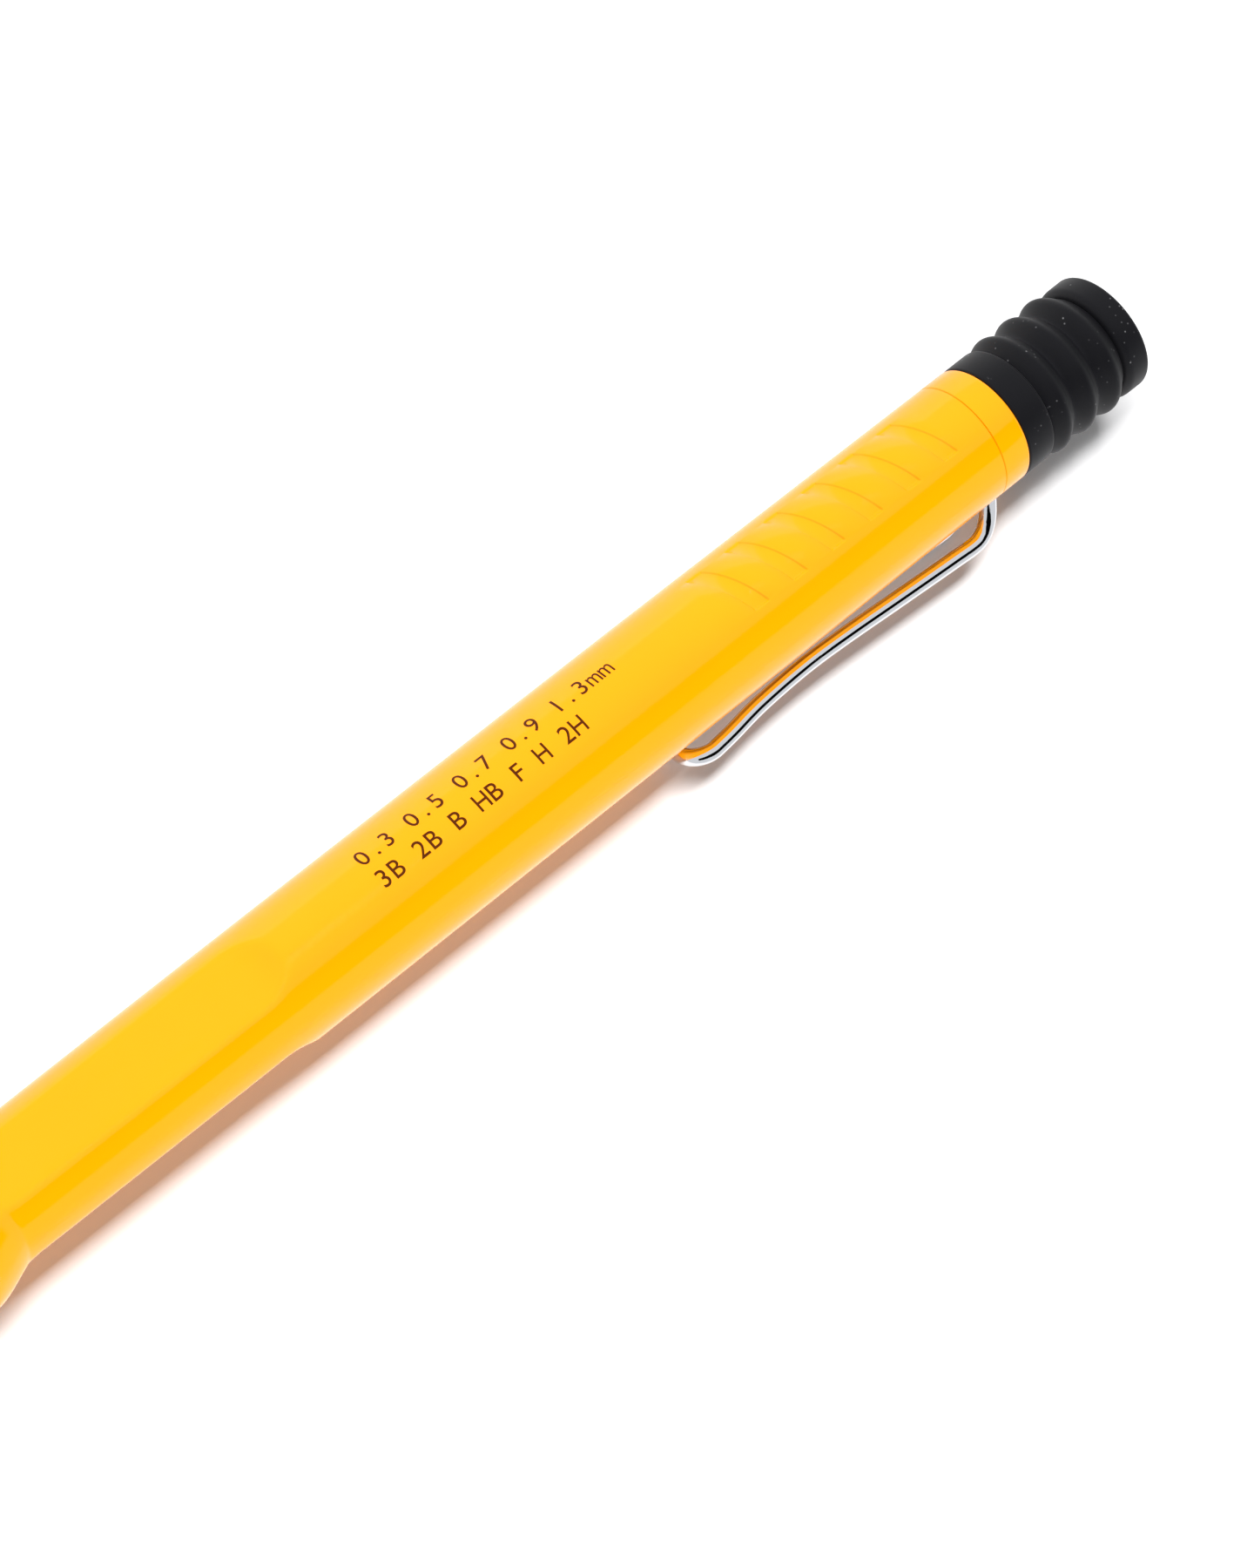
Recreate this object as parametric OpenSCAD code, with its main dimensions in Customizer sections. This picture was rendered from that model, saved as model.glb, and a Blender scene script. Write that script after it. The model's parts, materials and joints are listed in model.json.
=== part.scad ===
// Mechanical pencil, 0.5 mm: moulded barrel with two grip flats, wire clip and a rubber bellows button.
// Millimetres. Every piece is built standing on the lead point along +Z, the clip towards +X,
// and is then laid on its clip side along +X, the button towards +X.

/* [Barrel] */
// Overall length from the lead point to the button's end
total_len = 150.6; // [148:0.1:154]
// Radius of the barrel's straight middle stretch
barrel_r = 5.93; // [5.8:0.01:6.05]
// Radius of the barrel where it meets the end collar
barrel_end_r = 5.78; // [5.7:0.01:5.9]
// Distance of each grip flat from the axis
flat_dist = 5; // [4.8:0.05:5.2]
// Length of the end collar that shows
collar_len = 3.05; // [2.6:0.05:3.4]
// Depth of the pressed-in ornament
mark_depth = 0.18; // [0.1:0.02:0.3]

/* [Clip] */
// Diameter of the clip's wire
wire_d = 1.6; // [1.5:0.05:1.8]
// Distance between the centres of the clip's two legs
leg_gap = 4; // [3.6:0.1:4.4]
// Clear space round the wire where it passes through the barrel
clip_clear = 0.2; // [0.15:0.05:0.25]

/* [Button] */
// Length of the button beyond the collar
button_len = 15.25; // [14.5:0.05:16]
// Radius of the bellows at the top of its folds
fold_r = 6; // [5.8:0.05:6]
// Number of folds
folds = 3; // [2:1:4]
// Radius of the button's end cap
cap_r = 5.75; // [5.6:0.05:5.9]

/* [Lead] */
// Diameter of a nominal 0.5 lead
lead_d = 0.56; // [0.54:0.01:0.58]
// Length of a new lead
lead_len = 60; // [50:1:60]
// Number of spare leads
spare_count = 4; // [1:1:6]

/* [Hidden] */
$fn = 72;

// Colours
YELLOW = [1.0, 0.80, 0.10];
BLACK = [0.08, 0.08, 0.09];
CHROME = [0.85, 0.86, 0.88];
NICKEL = [0.72, 0.70, 0.66];
BRASS = [0.80, 0.62, 0.28];
GREY = [0.35, 0.36, 0.38];
CLEAR = [0.78, 0.82, 0.84];
GRAPHITE = [0.15, 0.15, 0.17];
WHITE = [0.95, 0.95, 0.93];

// Heights along the pencil, from the lead point
collar_z = total_len - button_len;      // end of the collar
seam_z = collar_z - collar_len;         // seam between barrel and collar
front_z = 12;                           // front face of the barrel
front_r = 4;                            // radius of the barrel's front edge
shoulder_z = 18;                        // end of the rounded front
shoulder_r = 5.76;
grip_z0 = 17;                           // front end of the grip flats
grip_z1 = 50.5;                         // rear end of the grip flats
runout_r = 8;                           // radius of the flats' run-outs
rim_z = 15;                             // crest of the rim that ends the grip
rim_r = 6.5;
rim_shift = 0.55;                       // the rim stands off centre, towards the flats
straight_z0 = 60;                       // start of the straight middle stretch
straight_z1 = 90;                       // end of the straight middle stretch
step_z = 50;                            // step in the bore that holds the mechanism
tube_z = seam_z - 9.6;                  // rear end of the lead tube
band_len = 3.2;                         // smooth band of the button beside the collar
cap_len = 2.7;                          // end cap of the button
band_end = collar_z + band_len;
cap_z = total_len - cap_len;

// Angles round the axis, from the clip
thumb_angle = -30;
finger_angle = -150;
mark_angle = -158;

// Ornament
bar_count = 6;
bar_pitch = 4.63;
bar_width = 1.65;
bar_slant = 18;

// Bores and sliding fits
front_bore_r = 3.4;
rear_bore_r = 4.4;
spigot_r = 4.95;
spigot_len = 8;
core_r = 3.72;
core_bore_r = 3.8;
tube_r = 2.7;
tube_bore_r = 1.9;
housing_bore_r = 2.75;
lead_r = lead_d / 2;
lead_hole_r = lead_r + 0.02;
sleeve_root_r = 0.65;

// Chuck, all at rest
jaw_z0 = 15;
jaw_z1 = 33.95;
ring_z0 = 17.4;
ring_z1 = 19.6;
ring_bore_r = 1.36;
shank_r = 1;
stop_z = 21.5;
spring_z0 = 22.3;
spring_z1 = 31.5;

// The clip's side view: height over the seam and distance from the axis at its bends, to the free end
wire_r = wire_d / 2;
clip_side = [[0.16, 4.3], [-0.1, 5.2], [-0.5, 6.5], [-0.95, 7.4], [-1.7, 8.2], [-2.9, 8.6], [-5.6, 8.45],
    [-12.2, 7.95], [-18.9, 7.42], [-23.8, 7.22], [-29.2, 7.5], [-32.9, 8.1], [-35, 8.35]];
clip_steps = 5;
turn_steps = 14;
wire_sides = 16;
foot = [5.2, -0.1];                     // point on the wire's line inside the wall, and height over the seam
foot_lean = atan2(0.28, 0.9);           // lean of the wire towards the tip there
foot_depth = 1.2;                       // depth of the hole beyond that point

// Smooth curve through the points p, n steps between each two
function spline_at(a, b, c, d, t) = 0.5 * ((2 * b) + (c - a) * t + (2 * a - 5 * b + 4 * c - d) * t * t
    + (3 * b - a - 3 * c + d) * t * t * t);
function spline(p, n) = let (m = len(p) - 1)
    [for (i = [0:m - 1], k = [0:n - 1]) spline_at(p[max(i - 1, 0)], p[i], p[i + 1], p[min(i + 2, m)], k / n), p[m]];
clip_leg = [for (q = spline(clip_side, clip_steps)) [q[0] + seam_z, q[1]]];
clip_reach = max([for (q = clip_leg) q[1]]);
leg_y = leg_gap / 2;
turn_start = clip_leg[len(clip_leg) - 1];
clip_path = concat(
    [for (q = clip_leg) [q[1], -leg_y, q[0]]],
    [for (k = [1:turn_steps - 1]) let (a = 180 * k / turn_steps)
        [turn_start[1], -leg_y * cos(a), turn_start[0] - leg_y * sin(a)]],
    [for (i = [len(clip_leg) - 1:-1:0]) [clip_leg[i][1], leg_y, clip_leg[i][0]]]);

// Lying at rest: the lower leg of the clip and the barrel share one flat surface
axis_height = fold_r + 0.05;
roll = asin((axis_height - wire_r) / norm([clip_reach, leg_y])) - atan2(leg_y, clip_reach);
clip_side_reach = clip_reach * cos(roll) + leg_y * sin(roll) + wire_r;
axis_y = (clip_side_reach - fold_r) / 2;

module lay_down() {
    translate([-total_len / 2, axis_y, axis_height])
        rotate([0, 90, 0])
            rotate([0, 0, roll - 90])
                children();
}

// A turned piece from its half outline [radius, height]
module turned(outline) {
    rotate_extrude()
        polygon(outline);
}

module rod(r, z0, z1) {
    translate([0, 0, z0])
        cylinder(r = r, h = z1 - z0);
}

module tube(r_out, r_in, z0, z1) {
    difference() {
        rod(r_out, z0, z1);
        rod(r_in, z0 - 1, z1 + 1);
    }
}

// A round bar swept along path, with the given number of sides; bars end flat
function unit(v) = v / norm(v);
function ring_at(path, i, r, sides, side_dir) = let (
        n = len(path) - 1,
        t = unit(path[min(i + 1, n)] - path[max(i - 1, 0)]),
        u = unit(cross(side_dir(i), t)),
        v = cross(t, u))
    [for (k = [0:sides - 1]) path[i] + r * (cos(360 * k / sides) * u + sin(360 * k / sides) * v)];

module swept_bar(path, r, sides, side_dir) {
    n = len(path);
    points = [for (i = [0:n - 1]) each ring_at(path, i, r, sides, side_dir)];
    walls = [for (i = [0:n - 2], k = [0:sides - 1]) let (a = i * sides + k, b = i * sides + (k + 1) % sides)
        each [[a, a + sides, b], [b, a + sides, b + sides]]];
    start = [[for (k = [0:sides - 1]) k]];
    finish = [[for (k = [sides - 1:-1:0]) (n - 1) * sides + k]];
    polyhedron(points = points, faces = concat(walls, start, finish));
}

// Half outline of the barrel: the rounded front, the long body, then the bores from the rear end back
front_steps = 8;
function front_r_at(t) = shoulder_r - (shoulder_r - front_r) * (1 - t) * (1 - t);
barrel_outline = concat(
    [for (i = [0:front_steps]) [front_r_at(i / front_steps), front_z + (shoulder_z - front_z) * i / front_steps]],
    [[barrel_r, straight_z0], [barrel_r, straight_z1], [barrel_end_r, seam_z - 0.15], [barrel_end_r - 0.12, seam_z],
        [spigot_r, seam_z], [spigot_r, seam_z - spigot_len], [rear_bore_r, seam_z - spigot_len - 0.5],
        [rear_bore_r, step_z], [front_bore_r, step_z], [front_bore_r, front_z]]);

// Half outline of the solid rim at the front end of the grip
function rim_r_at(z) = z < rim_z ? rim_r - 3.1 * pow((rim_z - z) / 3, 2) : rim_r - 1.9 * pow((z - rim_z) / 5.5, 1.5);
rim_heights = [12.3, 12.8, 13.4, 14.1, rim_z, 15.8, 16.8, 18, 19.4];

module grip_rim() {
    translate([0, -rim_shift, 0])
        turned(concat([[0, rim_heights[0]]], [for (z = rim_heights) [rim_r_at(z), z]], [[0, rim_heights[8]]]));
}

// Stock cut away beside one grip flat, with round run-outs at both ends
module grip_cut(angle) {
    depth = barrel_r - 0.1 - flat_dist;
    runout = sqrt(runout_r * runout_r - (runout_r - depth) * (runout_r - depth));
    wide = 16;
    rotate([0, 0, angle])
        translate([flat_dist, 0, 0]) {
            translate([0, -wide / 2, grip_z0 + runout])
                cube([4, wide, grip_z1 - grip_z0 - 2 * runout]);
            for (z = [grip_z0 + runout, grip_z1 - runout])
                translate([runout_r, wide / 2, z])
                    rotate([90, 0, 0])
                        cylinder(r = runout_r, h = wide);
        }
}

// Holes for the clip's two legs through barrel and collar
module clip_holes() {
    for (y = [-leg_y, leg_y])
        translate([foot[0], y, seam_z + foot[1]])
            rotate([0, 90 + foot_lean, 0])
                translate([0, 0, -foot_depth])
                    cylinder(r = wire_r + clip_clear, h = 4);
}

// Plain ornament pressed into the barrel: a row of slanted bars, laid out flat
module ornament() {
    wide = 6.6;
    rise = wide / 2 * tan(bar_slant);
    for (k = [0:bar_count - 1])
        translate([0, bar_pitch * k])
            polygon([[-wide / 2, -rise - bar_width / 2], [wide / 2, rise - bar_width / 2],
                [wide / 2, rise + bar_width / 2], [-wide / 2, -rise + bar_width / 2]]);
}

module ornament_cut() {
    floor_r = barrel_r - 0.08 - mark_depth;
    difference() {
        rotate([0, 0, mark_angle])
            translate([barrel_r - 3, 0, seam_z - 28.7])
                rotate([90, 0, 90])
                    linear_extrude(6)
                        ornament();
        rod(floor_r, straight_z1, seam_z);
    }
}

module barrel() {
    color(YELLOW)
        lay_down()
            difference() {
                union() {
                    turned(barrel_outline);
                    grip_rim();
                }
                rod(front_bore_r, front_z - 1, step_z - 1);
                for (a = [thumb_angle, finger_angle])
                    grip_cut(a);
                clip_holes();
                ornament_cut();
            }
}

module end_collar() {
    color(YELLOW)
        lay_down()
            difference() {
                turned([[core_bore_r, seam_z - spigot_len], [spigot_r, seam_z - spigot_len], [spigot_r, seam_z],
                    [barrel_end_r - 0.12, seam_z], [barrel_end_r, seam_z + 0.12], [barrel_end_r, collar_z - 0.35],
                    [barrel_end_r - 0.35, collar_z], [4.5, collar_z], [4.5, band_end - 0.2],
                    [core_bore_r, band_end - 0.2]]);
                clip_holes();
            }
}

module clip() {
    color(CHROME)
        lay_down()
            swept_bar(clip_path, wire_r, wire_sides, function (i) clip_plane(i));
}

// Direction that keeps the clip's rings from twisting: across the legs, then round the turn
function clip_plane(i) = let (m = len(clip_leg), a = 180 * min(max(i - m + 1, 0), turn_steps) / turn_steps)
    [0, cos(a), -sin(a)];

module nose_cone() {
    color(NICKEL)
        lay_down()
            turned([[sleeve_root_r, 4.4], [0.95, 4.4], [1.2, 5.2], [3.55, 11.4], [3.75, 11.7], [3.75, front_z],
                [2.8, front_z], [2.8, 16.6], [2.05, 16.6], [2.05, 10.8], [1.3, 10.6], [1.3, 8.6], [sleeve_root_r, 8.6]]);
}

module lead_sleeve() {
    color(CHROME)
        lay_down()
            turned([[lead_hole_r, 0.7], [0.45, 0.7], [0.45, 4.4], [sleeve_root_r, 4.4], [sleeve_root_r, 8.6],
                [lead_hole_r, 8.6]]);
}

module lead_retainer() {
    color(BLACK)
        lay_down()
            tube(1.3, lead_hole_r, 8.6, 10.6);
}

module mechanism_housing() {
    color(GREY)
        lay_down()
            turned([[2.8, front_z + 0.2], [front_bore_r, front_z + 0.2], [front_bore_r, step_z],
                [rear_bore_r, step_z], [rear_bore_r, step_z + 2], [housing_bore_r, step_z + 2],
                [housing_bore_r, spring_z0], [1.45, spring_z0], [1.45, stop_z], [2.4, stop_z],
                [2.4, 16.6], [2.8, 16.6]]);
}

// One of the chuck's three fingers; the head's cone sits in the ring
module chuck_jaw(number) {
    arc = 116;
    color(BRASS)
        lay_down()
            rotate([0, 0, 120 * (number - 1) - arc / 2])
                rotate_extrude(angle = arc)
                    polygon([[lead_hole_r, jaw_z0], [0.95, jaw_z0], [1.53, jaw_z0 + 0.7], [1.33, ring_z0],
                        [shank_r, 20.3], [shank_r, jaw_z1], [0.6, jaw_z1], [0.6, 19], [lead_hole_r, 18.4]]);
}

module chuck_ring() {
    color(BRASS)
        lay_down()
            tube(2.3, ring_bore_r, ring_z0, ring_z1);
}

module chuck_body() {
    color(BRASS)
        lay_down()
            turned([[1.08, spring_z1], [2.6, spring_z1], [2.6, 33], [tube_bore_r, 33], [tube_bore_r, 38], [0.9, 38],
                [0.5, 37], [0.5, 34], [1.08, 34]]);
}

module return_spring() {
    turns = 8;
    per_turn = 14;
    coil_r = 1.95;
    coil_wire_r = 0.17;
    rise = spring_z1 - spring_z0 - 2 * coil_wire_r - 0.04;
    path = [for (k = [0:turns * per_turn]) let (a = 360 * k / per_turn)
        [coil_r * cos(a), coil_r * sin(a), spring_z0 + coil_wire_r + 0.02 + rise * k / (turns * per_turn)]];
    color(CHROME)
        lay_down()
            swept_bar(path, coil_wire_r, 8, function (i) [0, 0, 1]);
}

module lead_tube() {
    color(CLEAR)
        lay_down()
            tube(tube_r, tube_bore_r, 33, tube_z);
}

module writing_lead() {
    color(GRAPHITE)
        lay_down()
            turned([[0, 0], [0.1, 0], [lead_r, 0.35], [lead_r, lead_len - 2], [0, lead_len - 2]]);
}

// Spare leads lie side by side on the floor of the tube
module spare_leads() {
    ring_r = tube_bore_r - lead_r - 0.02;
    pitch = 2 * asin((lead_r + 0.01) / ring_r);
    color(GRAPHITE)
        lay_down()
            for (k = [0:spare_count - 1])
                rotate([0, 0, 90 - roll + pitch * (k - (spare_count - 1) / 2)])
                    translate([ring_r, 0, 0])
                        rod(lead_r, 42, 42 + lead_len);
}

module cleaning_needle() {
    color(CHROME)
        lay_down()
            turned([[0, tube_z - 13], [0.08, tube_z - 13], [0.2, tube_z - 12], [0.2, tube_z + 4], [0, tube_z + 4]]);
}

module eraser_holder() {
    color(NICKEL)
        lay_down()
            turned([[tube_r, tube_z - 3], [3.1, tube_z - 3], [3.1, tube_z + 7], [2.6, tube_z + 7],
                [2.6, tube_z + 0.8], [0.2, tube_z + 0.8], [0.2, tube_z], [tube_r, tube_z]]);
}

module eraser() {
    color(WHITE)
        lay_down()
            turned([[0.2, tube_z + 0.8], [2.6, tube_z + 0.8], [2.6, tube_z + 9.4], [2.1, tube_z + 10],
                [0, tube_z + 10], [0, tube_z + 4], [0.2, tube_z + 4]]);
}

// Stiff sleeve inside the rubber button; it pushes on to the eraser holder
module button_core() {
    color(BLACK)
        lay_down()
            turned([[3.1, tube_z + 2.5], [core_r, tube_z + 2.5], [core_r, cap_z], [4.7, cap_z], [4.7, total_len - 1.4],
                [0, total_len - 1.4], [0, cap_z - 1.2], [3.1, cap_z - 1.2]]);
}

module button_band() {
    color(BLACK)
        lay_down()
            turned([[4.5, collar_z], [cap_r - 0.25, collar_z], [cap_r, collar_z + 0.25], [cap_r, band_end - 0.5],
                [cap_r - 0.5, band_end], [4.5, band_end]]);
}

// Bellows wall: the folds are one cosine wave, rounder at the top than in the grooves
module button_bellows() {
    steps = 12;
    wall = 0.8;
    groove_r = 5.05;
    pitch = (cap_z - band_end) / folds;
    crest = [for (k = [0:folds * steps]) let (a = 360 * k / steps)
        [groove_r + (fold_r - groove_r) * pow((1 - cos(a)) / 2, 0.7), band_end + pitch * k / steps]];
    inner = [for (i = [len(crest) - 1:-1:0]) [crest[i][0] - wall, crest[i][1]]];
    color(BLACK)
        lay_down()
            turned(concat(crest, inner));
}

module button_cap() {
    color(BLACK)
        lay_down()
            turned([[4.7, cap_z], [cap_r - 0.5, cap_z], [cap_r - 0.1, cap_z + 0.4], [cap_r, cap_z + 0.8],
                [cap_r - 0.1, total_len - 0.7], [cap_r - 0.3, total_len - 0.25], [cap_r - 0.75, total_len],
                [0, total_len], [0, total_len - 1.4], [4.7, total_len - 1.4]]);
}

barrel();
end_collar();
clip();
nose_cone();
lead_sleeve();
lead_retainer();
mechanism_housing();
chuck_jaw(1);  // chuck_jaw_1
chuck_jaw(2);  // chuck_jaw_2
chuck_jaw(3);  // chuck_jaw_3
chuck_ring();
chuck_body();
return_spring();
lead_tube();
writing_lead();
spare_leads();
cleaning_needle();
eraser_holder();
eraser();
button_core();
button_band();
button_bellows();
button_cap();
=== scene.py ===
import json
from math import asin, atan2, cos, degrees, pi, radians, sin, sqrt, tan

import bmesh
import bpy
from mathutils import Matrix, Vector

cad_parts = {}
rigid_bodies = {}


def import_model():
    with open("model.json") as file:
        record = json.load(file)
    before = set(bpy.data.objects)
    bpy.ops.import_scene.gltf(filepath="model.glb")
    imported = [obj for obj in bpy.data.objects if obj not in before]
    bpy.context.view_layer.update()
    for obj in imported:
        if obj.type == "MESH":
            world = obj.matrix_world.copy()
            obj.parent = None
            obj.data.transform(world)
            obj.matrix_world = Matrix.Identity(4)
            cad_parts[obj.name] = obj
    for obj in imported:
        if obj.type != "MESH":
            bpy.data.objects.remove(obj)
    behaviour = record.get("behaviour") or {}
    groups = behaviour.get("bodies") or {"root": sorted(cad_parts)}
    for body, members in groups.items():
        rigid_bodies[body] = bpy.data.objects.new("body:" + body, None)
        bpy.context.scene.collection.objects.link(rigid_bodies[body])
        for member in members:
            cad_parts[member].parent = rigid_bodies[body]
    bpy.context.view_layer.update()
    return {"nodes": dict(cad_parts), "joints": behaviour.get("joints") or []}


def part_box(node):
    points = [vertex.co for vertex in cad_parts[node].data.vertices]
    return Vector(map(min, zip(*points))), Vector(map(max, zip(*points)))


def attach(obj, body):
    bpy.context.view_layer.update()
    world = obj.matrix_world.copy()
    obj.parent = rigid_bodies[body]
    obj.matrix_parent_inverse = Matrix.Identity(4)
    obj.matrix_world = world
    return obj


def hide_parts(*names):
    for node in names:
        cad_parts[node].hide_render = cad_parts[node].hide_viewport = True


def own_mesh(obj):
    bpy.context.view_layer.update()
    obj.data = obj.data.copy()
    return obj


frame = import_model()


# ---------------------------------------------------------------- the pencil's axis
# The pencil lies along +X. Every piece is turned or set out from one line: the distance from the lead
# point, the distance from the axis, and the angle round it, counted from the wire clip.
MM = 0.001


def middle_of(node):
    low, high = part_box(node)
    return (low + high) / 2


tip_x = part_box("writing_lead")[0].x
axis_y = middle_of("lead_tube").y
axis_z = middle_of("lead_tube").z
clip_joint = next(j for j in frame["joints"] if j["name"] == "clip_flex")
clip_turn = atan2(clip_joint["pos_m"][2] - axis_z, clip_joint["pos_m"][1] - axis_y)


def along_of(x):
    """Millimetres from the lead point."""
    return (x - tip_x) / MM


def spot(along, radius, angle):
    """A point in the frame, from millimetres along and out from the axis and degrees from the clip."""
    turn = clip_turn + radians(angle)
    return Vector((tip_x + along * MM, axis_y + radius * MM * cos(turn), axis_z + radius * MM * sin(turn)))


front = along_of(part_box("barrel")[0].x)
seam = along_of(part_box("barrel")[1].x)
collar_end = along_of(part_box("button_band")[0].x)
band_end = along_of(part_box("button_band")[1].x)
cap_start = along_of(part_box("button_cap")[0].x)
button_end = along_of(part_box("button_cap")[1].x)


# ---------------------------------------------------------------- camera, floor and light
# The pencil lies on a white sweep under a large soft light. The camera looks down on it from the tip's
# side, and a black strip hung behind the light draws the dark line on the wire and on the barrel.
camera_data = bpy.data.cameras.new("camera")
camera = bpy.data.objects.new("camera", camera_data)
bpy.context.scene.collection.objects.link(camera)
bpy.context.scene.camera = camera
camera_data.sensor_width = 36
camera_data.lens = 150
camera_data.clip_start = 0.01
camera_data.clip_end = 20
aim = Vector((0.01251, -0.00376, 0.00605))
camera_azimuth, camera_elevation, camera_roll = radians(145.924), radians(60.373), radians(89.43)
camera_distance = 0.55485
towards_camera = Vector((cos(camera_elevation) * cos(camera_azimuth),
                         cos(camera_elevation) * sin(camera_azimuth), sin(camera_elevation)))
camera_right = Vector((0, 0, 1)).cross(towards_camera).normalized()
camera_up = towards_camera.cross(camera_right)
level_turn = Matrix((camera_right, camera_up, towards_camera)).transposed()
camera.rotation_mode = "QUATERNION"
camera.rotation_quaternion = level_turn.to_quaternion() @ Matrix.Rotation(camera_roll, 3, "Z").to_quaternion()
camera.location = aim + towards_camera * camera_distance


def new_material(name):
    """A material with its Principled shader; returns the material, its nodes, its links and the shader."""
    made = bpy.data.materials.new(name)
    made.use_nodes = True
    nodes = made.node_tree.nodes
    return made, nodes, made.node_tree.links, nodes["Principled BSDF"]


def srgb(red, green, blue):
    """A colour as painted, in 0 to 255, for a shader's socket."""
    parts = [c / 255 for c in (red, green, blue)]
    return tuple(c / 12.92 if c <= 0.04045 else ((c + 0.055) / 1.055) ** 2.4 for c in parts) + (1.0,)


floor_mesh = bpy.data.meshes.new("floor")
reach = 1.5
floor_mesh.from_pydata([(-reach, -reach, 0), (reach, -reach, 0), (reach, reach, 0), (-reach, reach, 0)],
                       [], [(0, 1, 2, 3)])
floor = bpy.data.objects.new("floor", floor_mesh)
bpy.context.scene.collection.objects.link(floor)
paper, nodes, links, shader = new_material("white sweep")
shader.inputs["Base Color"].default_value = (0.9, 0.9, 0.905, 1)
shader.inputs["Roughness"].default_value = 0.9
shader.inputs["Specular IOR Level"].default_value = 0.1
floor_mesh.materials.append(paper)

bpy.context.scene.view_settings.view_transform = "Standard"
world = bpy.data.worlds.new("studio")
bpy.context.scene.world = world
world.use_nodes = True
background = world.node_tree.nodes["Background"]
background.inputs["Color"].default_value = (0.97, 0.98, 1.0, 1)
room_light, room_reflection = 0.1, 0.85
rays = world.node_tree.nodes.new("ShaderNodeLightPath")
strength = world.node_tree.nodes.new("ShaderNodeMix")
strength.inputs["A"].default_value = room_light
strength.inputs["B"].default_value = room_reflection
world.node_tree.links.new(rays.outputs["Is Glossy Ray"], strength.inputs["Factor"])
world.node_tree.links.new(strength.outputs["Result"], background.inputs["Strength"])


def softbox(name, lean, distance, width, length, power):
    """A long soft light over the pencil, leaning from the vertical towards +Y by so many degrees."""
    data = bpy.data.lights.new(name, "AREA")
    data.shape = "RECTANGLE"
    data.size, data.size_y = width, length
    data.energy = power
    made = bpy.data.objects.new(name, data)
    bpy.context.scene.collection.objects.link(made)
    made.location = (0, distance * sin(radians(lean)), distance * cos(radians(lean)))
    made.rotation_euler = (-made.location).to_track_quat("-Z", "X").to_euler()
    return made


key = softbox("softbox over the head", 30, 0.75, 0.14, 0.6, 9.0)
key.visible_glossy = False
strip = softbox("strip towards the clip", -83, 0.6, 0.1, 0.6, 4.5)
strip.visible_glossy = False

flag_lean, flag_distance, flag_width = radians(-26), 0.34, 0.22
flag_mesh = bpy.data.meshes.new("black flag")
flag_middle = Vector((0, sin(flag_lean), cos(flag_lean))) * flag_distance
flag_across = Vector((0, cos(flag_lean), -sin(flag_lean))) * flag_width / 2
flag_along = Vector((0.4, 0, 0))
flag_mesh.from_pydata([flag_middle - flag_across - flag_along, flag_middle + flag_across - flag_along,
                       flag_middle + flag_across + flag_along, flag_middle - flag_across + flag_along],
                      [], [(0, 1, 2, 3)])
flag = bpy.data.objects.new("black_flag", flag_mesh)
bpy.context.scene.collection.objects.link(flag)
felt, nodes, links, shader = new_material("black felt")
shader.inputs["Base Color"].default_value = (0.002, 0.002, 0.002, 1)
shader.inputs["Specular IOR Level"].default_value = 0
flag_mesh.materials.append(felt)
flag.visible_camera = False
flag.visible_diffuse = False
flag.visible_shadow = False


# ---------------------------------------------------------------- barrel
# Injection moulded in glossy yellow ABS, in one piece from the metal tip to the seam, with two flats
# pressed in for thumb and finger and a row of slanted bars sunk in near the clip.
barrel_radius = 5.93
barrel_end_radius = 5.78
front_radius = 4.0
shoulder, shoulder_radius = 18.0, 5.76
straight_start, straight_end = 60.0, 90.0
front_bore, rear_bore, spigot_bore = 3.4, 4.4, 4.95
bore_step, spigot_length = 50.0, 8.0
flat_angles = (-30.0, -150.0)
flat_distance, flat_cut_radius = 5.0, 5.83
flat_front, flat_rear, flat_runout = 17.0, 50.5, 8.0
rim_along, rim_radius, rim_shift = 15.0, 6.5, 0.55
rim_front_drop, rim_front_length = 3.1, 3.0
rim_rear_drop, rim_rear_length = 1.9, 5.5
ornament_angle = -158.0
bar_count, bar_first, bar_pitch, bar_width = 6, 103.6, 4.63, 1.65
bar_reach, bar_slant, bar_depth, bar_edge = 3.3, radians(18), 0.16, 0.16


def blend_step(t):
    """0 below 0, 1 above 1, and a smooth step between."""
    t = min(max(t, 0.0), 1.0)
    return t * t * (3 - 2 * t)


def spread(start, end, count):
    return [start + (end - start) * i / count for i in range(count + 1)]


def outer_radius(along):
    """The barrel before its flats: a rounded front, a slow swell, and a slow taper to the seam."""
    if along < shoulder:
        t = (along - front) / (shoulder - front)
        return shoulder_radius - (shoulder_radius - front_radius) * (1 - t) ** 2
    if along < straight_start:
        t = (along - shoulder) / (straight_start - shoulder)
        return shoulder_radius + (barrel_radius - shoulder_radius) * (1 - (1 - t) ** 2)
    if along < straight_end:
        return barrel_radius
    t = (along - straight_end) / (seam - straight_end)
    return barrel_radius - (barrel_radius - barrel_end_radius) * t ** 1.3


def rim_reach(along, turn):
    """The rim that stops the fingers at the grip's front, off centre towards the flats."""
    if along > rim_along + rim_rear_length:
        return 0.0
    if along < rim_along:
        size = rim_radius - rim_front_drop * ((rim_along - along) / rim_front_length) ** 2
    else:
        size = rim_radius - rim_rear_drop * ((along - rim_along) / rim_rear_length) ** 1.5
    off = radians(turn + 90)
    return rim_shift * cos(off) + sqrt(size * size - (rim_shift * sin(off)) ** 2)


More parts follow.
